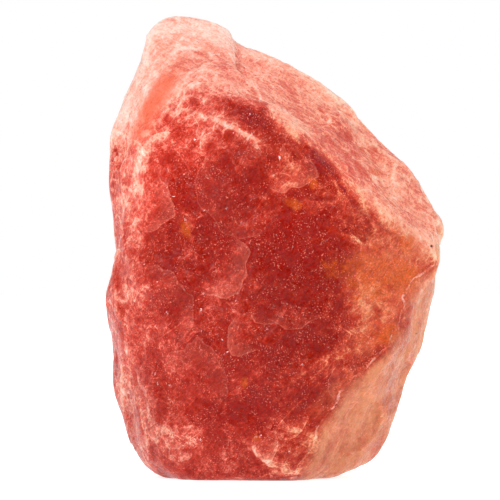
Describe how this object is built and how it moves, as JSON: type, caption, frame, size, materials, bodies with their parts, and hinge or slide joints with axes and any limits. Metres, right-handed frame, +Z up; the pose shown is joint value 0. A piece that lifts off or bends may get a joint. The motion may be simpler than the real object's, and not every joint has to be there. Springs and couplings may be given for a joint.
{
  "type": "rough strawberry quartz stone",
  "caption": "Rough, upright chunk of strawberry quartz with a broad deep red face, pale broken edges and shell-shaped fracture scars, standing on a flat foot as a display stone.",
  "frame": {"origin": "under the middle of the stone, on the plane that its flat foot stands on", "axes": "+Z up, the broad red face looks towards -Y, and +X is to the right of it"},
  "size_m": [0.0514, 0.039, 0.07],
  "materials": {
    "strawberry_quartz": "broken, slightly worn crystal, half shiny"
  },
  "bodies": {
    "root": {"strawberry_quartz": "strawberry_quartz"}
  },
  "joints": []
}
